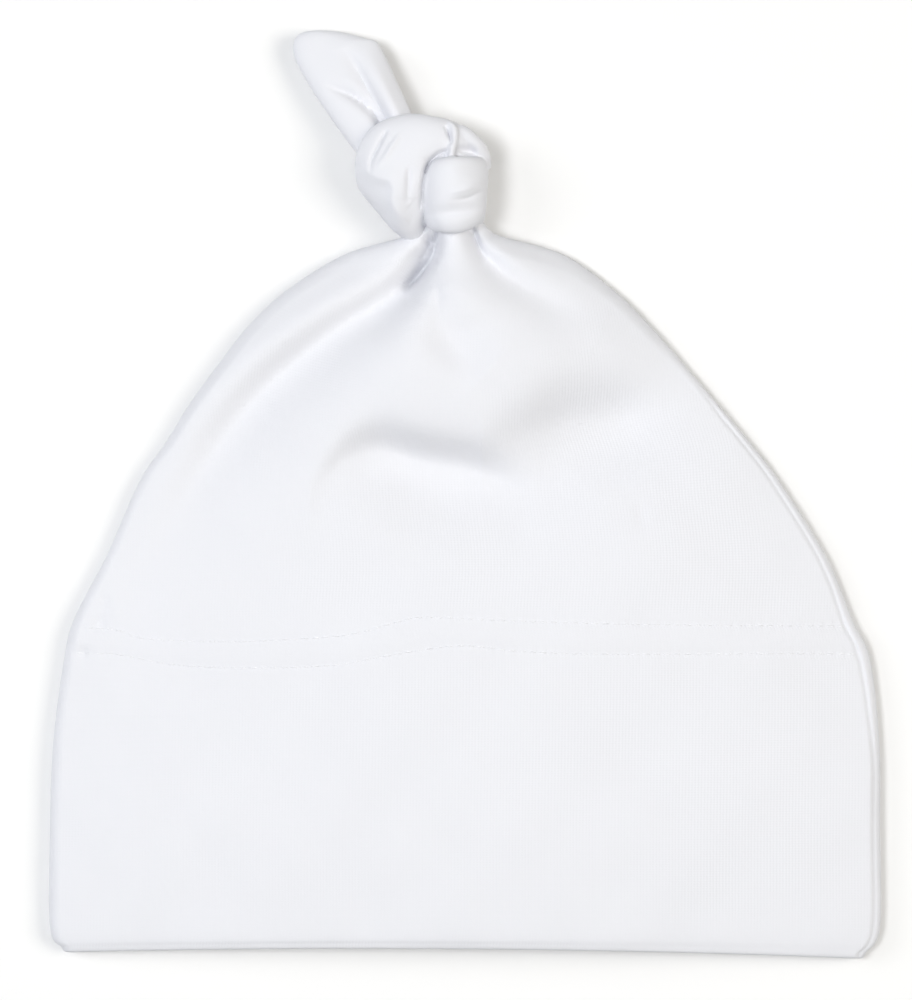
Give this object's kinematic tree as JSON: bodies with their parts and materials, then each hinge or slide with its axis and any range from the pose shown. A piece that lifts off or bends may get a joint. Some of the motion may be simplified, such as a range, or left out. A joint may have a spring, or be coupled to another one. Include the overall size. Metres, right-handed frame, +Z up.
{
  "type": "knotted baby nightcap",
  "caption": "Baby's knotted nightcap in white cotton jersey, lying flat: deep turned-up hem, open hollow crown gathered to a tied top knot with a free tail.",
  "frame": {"origin": "middle of the cap's underside, on the surface that it lies on", "axes": "+Y from the hem towards the tail, +Z up away from the surface, +X to the right as seen from above"},
  "size_m": [0.1702, 0.1898, 0.0181],
  "materials": {
    "jersey": "fine interlock cotton jersey, matt, one layer",
    "doubled_jersey": "the same jersey turned up double, with two rows of stitches"
  },
  "bodies": {
    "root": {"hem_band": "doubled_jersey", "crown": "jersey", "knot": "jersey", "tail": "jersey"}
  },
  "joints": []
}
